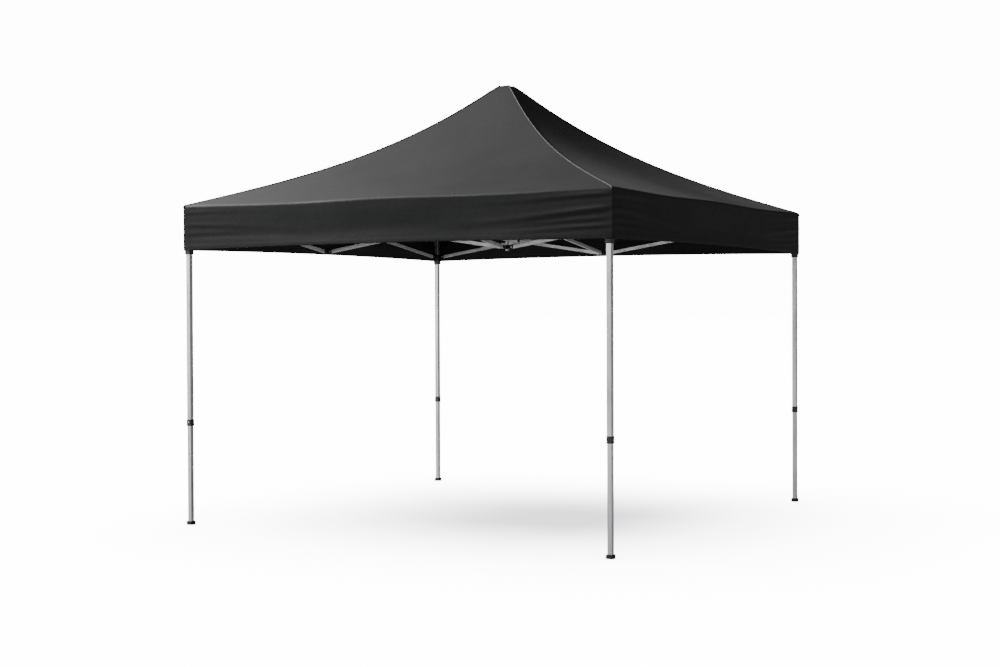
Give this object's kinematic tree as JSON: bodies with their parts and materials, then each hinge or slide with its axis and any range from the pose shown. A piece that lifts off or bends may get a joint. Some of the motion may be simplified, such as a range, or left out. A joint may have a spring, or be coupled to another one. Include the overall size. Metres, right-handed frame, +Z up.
{
  "type": "pop up canopy",
  "caption": "Square pop up canopy with telescopic legs, folding scissor trusses, a centre mast and a peaked fabric roof with a straight valance.",
  "frame": {"origin": "on the floor, below the centre mast", "axes": "+Z up along the mast; -Y is the front side and +X the right side, both parallel to the valance"},
  "size_m": [3, 3, 2.845],
  "materials": {
    "roof_fabric": "matt woven polyester, coated inside",
    "leg_tube": "satin silver",
    "truss_bar": "satin silver",
    "black_plastic": "moulded nylon, fine texture",
    "foot_plastic": "moulded, worn under"
  },
  "bodies": {
    "roof_hub": {"roof_hub": "black_plastic", "canopy_cover": "roof_fabric"},
    "rafter_bar_front": {"rafter_bar_front": "truss_bar"},
    "mast_bar_front": {"mast_bar_front": "truss_bar"},
    "lower_connector_front": {"lower_connector_front": "black_plastic"},
    "upper_connector_front": {"upper_connector_front": "black_plastic"},
    "rising_bar_front_a": {"rising_bar_front_a": "truss_bar"},
    "falling_bar_front_a": {"falling_bar_front_a": "truss_bar"},
    "rising_bar_front_b": {"rising_bar_front_b": "truss_bar"},
    "falling_bar_front_b": {"falling_bar_front_b": "truss_bar"},
    "upper_leg_front_right": {"upper_leg_front_right": "leg_tube"},
    "slider_front_right": {"slider_front_right": "black_plastic"},
    "lower_leg_front_right": {"lower_leg_front_right": "leg_tube", "foot_front_right": "foot_plastic"},
    "height_button_front_right": {"height_button_front_right": "black_plastic"},
    "slider_button_front_right": {"slider_button_front_right": "black_plastic"},
    "rafter_bar_right": {"rafter_bar_right": "truss_bar"},
    "mast_bar_right": {"mast_bar_right": "truss_bar"},
    "lower_connector_right": {"lower_connector_right": "black_plastic"},
    "upper_connector_right": {"upper_connector_right": "black_plastic"},
    "rising_bar_right_a": {"rising_bar_right_a": "truss_bar"},
    "falling_bar_right_a": {"falling_bar_right_a": "truss_bar"},
    "rising_bar_right_b": {"rising_bar_right_b": "truss_bar"},
    "falling_bar_right_b": {"falling_bar_right_b": "truss_bar"},
    "upper_leg_rear_right": {"upper_leg_rear_right": "leg_tube"},
    "slider_rear_right": {"slider_rear_right": "black_plastic"},
    "lower_leg_rear_right": {"lower_leg_rear_right": "leg_tube", "foot_rear_right": "foot_plastic"},
    "height_button_rear_right": {"height_button_rear_right": "black_plastic"},
    "slider_button_rear_right": {"slider_button_rear_right": "black_plastic"},
    "rafter_bar_rear": {"rafter_bar_rear": "truss_bar"},
    "mast_bar_rear": {"mast_bar_rear": "truss_bar"},
    "lower_connector_rear": {"lower_connector_rear": "black_plastic"},
    "upper_connector_rear": {"upper_connector_rear": "black_plastic"},
    "rising_bar_rear_a": {"rising_bar_rear_a": "truss_bar"},
    "falling_bar_rear_a": {"falling_bar_rear_a": "truss_bar"},
    "rising_bar_rear_b": {"rising_bar_rear_b": "truss_bar"},
    "falling_bar_rear_b": {"falling_bar_rear_b": "truss_bar"},
    "upper_leg_rear_left": {"upper_leg_rear_left": "leg_tube"},
    "slider_rear_left": {"slider_rear_left": "black_plastic"},
    "lower_leg_rear_left": {"lower_leg_rear_left": "leg_tube", "foot_rear_left": "foot_plastic"},
    "height_button_rear_left": {"height_button_rear_left": "black_plastic"},
    "slider_button_rear_left": {"slider_button_rear_left": "black_plastic"},
    "rafter_bar_left": {"rafter_bar_left": "truss_bar"},
    "mast_bar_left": {"mast_bar_left": "truss_bar"},
    "lower_connector_left": {"lower_connector_left": "black_plastic"},
    "upper_connector_left": {"upper_connector_left": "black_plastic"},
    "rising_bar_left_a": {"rising_bar_left_a": "truss_bar"},
    "falling_bar_left_a": {"falling_bar_left_a": "truss_bar"},
    "rising_bar_left_b": {"rising_bar_left_b": "truss_bar"},
    "falling_bar_left_b": {"falling_bar_left_b": "truss_bar"},
    "upper_leg_front_left": {"upper_leg_front_left": "leg_tube"},
    "slider_front_left": {"slider_front_left": "black_plastic"},
    "lower_leg_front_left": {"lower_leg_front_left": "leg_tube", "foot_front_left": "foot_plastic"},
    "height_button_front_left": {"height_button_front_left": "black_plastic"},
    "slider_button_front_left": {"slider_button_front_left": "black_plastic"},
    "mast_lower": {"mast_lower": "leg_tube"},
    "mast_upper": {"mast_upper": "leg_tube"}
  },
  "joints": [
    {"name": "frame_fold", "type": "hinge", "parent": "roof_hub", "child": "rafter_bar_front", "pos_m": [0, -0.038, 1.985], "axis": [1, 0, 0], "range_deg": [0, 76.78], "deforming": ["canopy_cover"]},
    {"name": "lower_connector_fold_front", "type": "hinge", "parent": "rafter_bar_front", "child": "lower_connector_front", "pos_m": [0, -1.439, 1.77], "axis": [1, 0, 0], "range_deg": [-76.78, 0]},
    {"name": "centre_cross_front", "type": "hinge", "parent": "rafter_bar_front", "child": "mast_bar_front", "pos_m": [0, -0.7385, 1.8775], "axis": [1, 0, 0], "range_deg": [-153.56, 0]},
    {"name": "upper_connector_fold_front", "type": "hinge", "parent": "mast_bar_front", "child": "upper_connector_front", "pos_m": [0, -1.439, 1.985], "axis": [1, 0, 0], "range_deg": [0, 76.78]},
    {"name": "rising_fold_front_a", "type": "hinge", "parent": "lower_connector_front", "child": "rising_bar_front_a", "pos_m": [0.03, -1.475, 1.77], "axis": [0, -1, 0], "range_deg": [0, 76.78]},
    {"name": "ring_cross_front_a", "type": "hinge", "parent": "rising_bar_front_a", "child": "falling_bar_front_a", "pos_m": [0.7305, -1.475, 1.8775], "axis": [0, -1, 0], "range_deg": [-153.56, 0]},
    {"name": "rising_fold_front_b", "type": "hinge", "parent": "lower_connector_front", "child": "rising_bar_front_b", "pos_m": [-0.03, -1.475, 1.77], "axis": [0, -1, 0], "range_deg": [-76.78, 0]},
    {"name": "ring_cross_front_b", "type": "hinge", "parent": "rising_bar_front_b", "child": "falling_bar_front_b", "pos_m": [-0.7305, -1.475, 1.8775], "axis": [0, -1, 0], "range_deg": [0, 153.56]},
    {"name": "leg_fold_front_right", "type": "hinge", "parent": "rising_bar_front_a", "child": "upper_leg_front_right", "pos_m": [1.431, -1.475, 1.985], "axis": [0, -1, 0], "range_deg": [-76.78, 0]},
    {"name": "slider_fold_front_right", "type": "hinge", "parent": "falling_bar_front_a", "child": "slider_front_right", "pos_m": [1.431, -1.475, 1.77], "axis": [0, -1, 0], "range_deg": [0, 76.78]},
    {"name": "leg_height_front_right", "type": "slide", "parent": "upper_leg_front_right", "child": "lower_leg_front_right", "axis": [0, 0, 1], "range_m": [0, 0.45]},
    {"name": "height_button_press_front_right", "type": "slide", "parent": "upper_leg_front_right", "child": "height_button_front_right", "axis": [-1, 0, 0], "range_m": [0, 0.0018], "stiffness_N_per_m": 400, "springref_m": -0.002},
    {"name": "slider_button_press_front_right", "type": "slide", "parent": "slider_front_right", "child": "slider_button_front_right", "axis": [0, 1, 0], "range_m": [0, 0.0022], "stiffness_N_per_m": 400, "springref_m": -0.002},
    {"name": "rafter_fold_right", "type": "hinge", "parent": "roof_hub", "child": "rafter_bar_right", "pos_m": [0.038, 0, 1.985], "axis": [0, 1, 0], "range_deg": [0, 76.78]},
    {"name": "lower_connector_fold_right", "type": "hinge", "parent": "rafter_bar_right", "child": "lower_connector_right", "pos_m": [1.439, 0, 1.77], "axis": [0, 1, 0], "range_deg": [-76.78, 0]},
    {"name": "centre_cross_right", "type": "hinge", "parent": "rafter_bar_right", "child": "mast_bar_right", "pos_m": [0.7385, 0, 1.8775], "axis": [0, 1, 0], "range_deg": [-153.56, 0]},
    {"name": "upper_connector_fold_right", "type": "hinge", "parent": "mast_bar_right", "child": "upper_connector_right", "pos_m": [1.439, 0, 1.985], "axis": [0, 1, 0], "range_deg": [0, 76.78]},
    {"name": "rising_fold_right_a", "type": "hinge", "parent": "lower_connector_right", "child": "rising_bar_right_a", "pos_m": [1.475, 0.03, 1.77], "axis": [1, 0, 0], "range_deg": [0, 76.78]},
    {"name": "ring_cross_right_a", "type": "hinge", "parent": "rising_bar_right_a", "child": "falling_bar_right_a", "pos_m": [1.475, 0.7305, 1.8775], "axis": [1, 0, 0], "range_deg": [-153.56, 0]},
    {"name": "rising_fold_right_b", "type": "hinge", "parent": "lower_connector_right", "child": "rising_bar_right_b", "pos_m": [1.475, -0.03, 1.77], "axis": [1, 0, 0], "range_deg": [-76.78, 0]},
    {"name": "ring_cross_right_b", "type": "hinge", "parent": "rising_bar_right_b", "child": "falling_bar_right_b", "pos_m": [1.475, -0.7305, 1.8775], "axis": [1, 0, 0], "range_deg": [0, 153.56]},
    {"name": "leg_fold_rear_right", "type": "hinge", "parent": "rising_bar_right_a", "child": "upper_leg_rear_right", "pos_m": [1.475, 1.431, 1.985], "axis": [1, 0, 0], "range_deg": [-76.78, 0]},
    {"name": "slider_fold_rear_right", "type": "hinge", "parent": "falling_bar_right_a", "child": "slider_rear_right", "pos_m": [1.475, 1.431, 1.77], "axis": [1, 0, 0], "range_deg": [0, 76.78]},
    {"name": "leg_height_rear_right", "type": "slide", "parent": "upper_leg_rear_right", "child": "lower_leg_rear_right", "axis": [0, 0, 1], "range_m": [0, 0.45]},
    {"name": "height_button_press_rear_right", "type": "slide", "parent": "upper_leg_rear_right", "child": "height_button_rear_right", "axis": [0, -1, 0], "range_m": [0, 0.0018], "stiffness_N_per_m": 400, "springref_m": -0.002},
    {"name": "slider_button_press_rear_right", "type": "slide", "parent": "slider_rear_right", "child": "slider_button_rear_right", "axis": [-1, 0, 0], "range_m": [0, 0.0022], "stiffness_N_per_m": 400, "springref_m": -0.002},
    {"name": "rafter_fold_rear", "type": "hinge", "parent": "roof_hub", "child": "rafter_bar_rear", "pos_m": [0, 0.038, 1.985], "axis": [-1, 0, 0], "range_deg": [0, 76.78]},
    {"name": "lower_connector_fold_rear", "type": "hinge", "parent": "rafter_bar_rear", "child": "lower_connector_rear", "pos_m": [0, 1.439, 1.77], "axis": [-1, 0, 0], "range_deg": [-76.78, 0]},
    {"name": "centre_cross_rear", "type": "hinge", "parent": "rafter_bar_rear", "child": "mast_bar_rear", "pos_m": [0, 0.7385, 1.8775], "axis": [-1, 0, 0], "range_deg": [-153.56, 0]},
    {"name": "upper_connector_fold_rear", "type": "hinge", "parent": "mast_bar_rear", "child": "upper_connector_rear", "pos_m": [0, 1.439, 1.985], "axis": [-1, 0, 0], "range_deg": [0, 76.78]},
    {"name": "rising_fold_rear_a", "type": "hinge", "parent": "lower_connector_rear", "child": "rising_bar_rear_a", "pos_m": [-0.03, 1.475, 1.77], "axis": [0, 1, 0], "range_deg": [0, 76.78]},
    {"name": "ring_cross_rear_a", "type": "hinge", "parent": "rising_bar_rear_a", "child": "falling_bar_rear_a", "pos_m": [-0.7305, 1.475, 1.8775], "axis": [0, 1, 0], "range_deg": [-153.56, 0]},
    {"name": "rising_fold_rear_b", "type": "hinge", "parent": "lower_connector_rear", "child": "rising_bar_rear_b", "pos_m": [0.03, 1.475, 1.77], "axis": [0, 1, 0], "range_deg": [-76.78, 0]},
    {"name": "ring_cross_rear_b", "type": "hinge", "parent": "rising_bar_rear_b", "child": "falling_bar_rear_b", "pos_m": [0.7305, 1.475, 1.8775], "axis": [0, 1, 0], "range_deg": [0, 153.56]},
    {"name": "leg_fold_rear_left", "type": "hinge", "parent": "rising_bar_rear_a", "child": "upper_leg_rear_left", "pos_m": [-1.431, 1.475, 1.985], "axis": [0, 1, 0], "range_deg": [-76.78, 0]},
    {"name": "slider_fold_rear_left", "type": "hinge", "parent": "falling_bar_rear_a", "child": "slider_rear_left", "pos_m": [-1.431, 1.475, 1.77], "axis": [0, 1, 0], "range_deg": [0, 76.78]},
    {"name": "leg_height_rear_left", "type": "slide", "parent": "upper_leg_rear_left", "child": "lower_leg_rear_left", "axis": [0, 0, 1], "range_m": [0, 0.45]},
    {"name": "height_button_press_rear_left", "type": "slide", "parent": "upper_leg_rear_left", "child": "height_button_rear_left", "axis": [1, 0, 0], "range_m": [0, 0.0018], "stiffness_N_per_m": 400, "springref_m": -0.002},
    {"name": "slider_button_press_rear_left", "type": "slide", "parent": "slider_rear_left", "child": "slider_button_rear_left", "axis": [0, -1, 0], "range_m": [0, 0.0022], "stiffness_N_per_m": 400, "springref_m": -0.002},
    {"name": "rafter_fold_left", "type": "hinge", "parent": "roof_hub", "child": "rafter_bar_left", "pos_m": [-0.038, 0, 1.985], "axis": [0, -1, 0], "range_deg": [0, 76.78]},
    {"name": "lower_connector_fold_left", "type": "hinge", "parent": "rafter_bar_left", "child": "lower_connector_left", "pos_m": [-1.439, 0, 1.77], "axis": [0, -1, 0], "range_deg": [-76.78, 0]},
    {"name": "centre_cross_left", "type": "hinge", "parent": "rafter_bar_left", "child": "mast_bar_left", "pos_m": [-0.7385, 0, 1.8775], "axis": [0, -1, 0], "range_deg": [-153.56, 0]},
    {"name": "upper_connector_fold_left", "type": "hinge", "parent": "mast_bar_left", "child": "upper_connector_left", "pos_m": [-1.439, 0, 1.985], "axis": [0, -1, 0], "range_deg": [0, 76.78]},
    {"name": "rising_fold_left_a", "type": "hinge", "parent": "lower_connector_left", "child": "rising_bar_left_a", "pos_m": [-1.475, -0.03, 1.77], "axis": [-1, 0, 0], "range_deg": [0, 76.78]},
    {"name": "ring_cross_left_a", "type": "hinge", "parent": "rising_bar_left_a", "child": "falling_bar_left_a", "pos_m": [-1.475, -0.7305, 1.8775], "axis": [-1, 0, 0], "range_deg": [-153.56, 0]},
    {"name": "rising_fold_left_b", "type": "hinge", "parent": "lower_connector_left", "child": "rising_bar_left_b", "pos_m": [-1.475, 0.03, 1.77], "axis": [-1, 0, 0], "range_deg": [-76.78, 0]},
    {"name": "ring_cross_left_b", "type": "hinge", "parent": "rising_bar_left_b", "child": "falling_bar_left_b", "pos_m": [-1.475, 0.7305, 1.8775], "axis": [-1, 0, 0], "range_deg": [0, 153.56]},
    {"name": "leg_fold_front_left", "type": "hinge", "parent": "rising_bar_left_a", "child": "upper_leg_front_left", "pos_m": [-1.475, -1.431, 1.985], "axis": [-1, 0, 0], "range_deg": [-76.78, 0]},
    {"name": "slider_fold_front_left", "type": "hinge", "parent": "falling_bar_left_a", "child": "slider_front_left", "pos_m": [-1.475, -1.431, 1.77], "axis": [-1, 0, 0], "range_deg": [0, 76.78]},
    {"name": "leg_height_front_left", "type": "slide", "parent": "upper_leg_front_left", "child": "lower_leg_front_left", "axis": [0, 0, 1], "range_m": [0, 0.45]},
    {"name": "height_button_press_front_left", "type": "slide", "parent": "upper_leg_front_left", "child": "height_button_front_left", "axis": [0, 1, 0], "range_m": [0, 0.0018], "stiffness_N_per_m": 400, "springref_m": -0.002},
    {"name": "slider_button_press_front_left", "type": "slide", "parent": "slider_front_left", "child": "slider_button_front_left", "axis": [1, 0, 0], "range_m": [0, 0.0022], "stiffness_N_per_m": 400, "springref_m": -0.002},
    {"name": "mast_fold", "type": "hinge", "parent": "mast_bar_front", "child": "mast_lower", "pos_m": [0, -0.038, 1.77], "axis": [1, 0, 0], "range_deg": [0, 76.78]},
    {"name": "mast_draw", "type": "slide", "parent": "mast_lower", "child": "mast_upper", "axis": [0, 0, 1], "range_m": [0, 0.429]}
  ],
  "couplings": [
    {"joint": "lower_connector_fold_front", "follows": "frame_fold", "ratio": -1},
    {"joint": "centre_cross_front", "follows": "frame_fold", "ratio": -2},
    {"joint": "upper_connector_fold_front", "follows": "frame_fold", "ratio": 1},
    {"joint": "rising_fold_front_a", "follows": "frame_fold", "ratio": 1},
    {"joint": "ring_cross_front_a", "follows": "frame_fold", "ratio": -2},
    {"joint": "rising_fold_front_b", "follows": "frame_fold", "ratio": -1},
    {"joint": "ring_cross_front_b", "follows": "frame_fold", "ratio": 2},
    {"joint": "leg_fold_front_right", "follows": "frame_fold", "ratio": -1},
    {"joint": "slider_fold_front_right", "follows": "frame_fold", "ratio": 1},
    {"joint": "rafter_fold_right", "follows": "frame_fold", "ratio": 1},
    {"joint": "lower_connector_fold_right", "follows": "frame_fold", "ratio": -1},
    {"joint": "centre_cross_right", "follows": "frame_fold", "ratio": -2},
    {"joint": "upper_connector_fold_right", "follows": "frame_fold", "ratio": 1},
    {"joint": "rising_fold_right_a", "follows": "frame_fold", "ratio": 1},
    {"joint": "ring_cross_right_a", "follows": "frame_fold", "ratio": -2},
    {"joint": "rising_fold_right_b", "follows": "frame_fold", "ratio": -1},
    {"joint": "ring_cross_right_b", "follows": "frame_fold", "ratio": 2},
    {"joint": "leg_fold_rear_right", "follows": "frame_fold", "ratio": -1},
    {"joint": "slider_fold_rear_right", "follows": "frame_fold", "ratio": 1},
    {"joint": "rafter_fold_rear", "follows": "frame_fold", "ratio": 1},
    {"joint": "lower_connector_fold_rear", "follows": "frame_fold", "ratio": -1},
    {"joint": "centre_cross_rear", "follows": "frame_fold", "ratio": -2},
    {"joint": "upper_connector_fold_rear", "follows": "frame_fold", "ratio": 1},
    {"joint": "rising_fold_rear_a", "follows": "frame_fold", "ratio": 1},
    {"joint": "ring_cross_rear_a", "follows": "frame_fold", "ratio": -2},
    {"joint": "rising_fold_rear_b", "follows": "frame_fold", "ratio": -1},
    {"joint": "ring_cross_rear_b", "follows": "frame_fold", "ratio": 2},
    {"joint": "leg_fold_rear_left", "follows": "frame_fold", "ratio": -1},
    {"joint": "slider_fold_rear_left", "follows": "frame_fold", "ratio": 1},
    {"joint": "rafter_fold_left", "follows": "frame_fold", "ratio": 1},
    {"joint": "lower_connector_fold_left", "follows": "frame_fold", "ratio": -1},
    {"joint": "centre_cross_left", "follows": "frame_fold", "ratio": -2},
    {"joint": "upper_connector_fold_left", "follows": "frame_fold", "ratio": 1},
    {"joint": "rising_fold_left_a", "follows": "frame_fold", "ratio": 1},
    {"joint": "ring_cross_left_a", "follows": "frame_fold", "ratio": -2},
    {"joint": "rising_fold_left_b", "follows": "frame_fold", "ratio": -1},
    {"joint": "ring_cross_left_b", "follows": "frame_fold", "ratio": 2},
    {"joint": "leg_fold_front_left", "follows": "frame_fold", "ratio": -1},
    {"joint": "slider_fold_front_left", "follows": "frame_fold", "ratio": 1},
    {"joint": "mast_fold", "follows": "frame_fold", "ratio": 1},
    {"joint": "mast_draw", "follows": "frame_fold", "m_per_rad": 0.32}
  ]
}
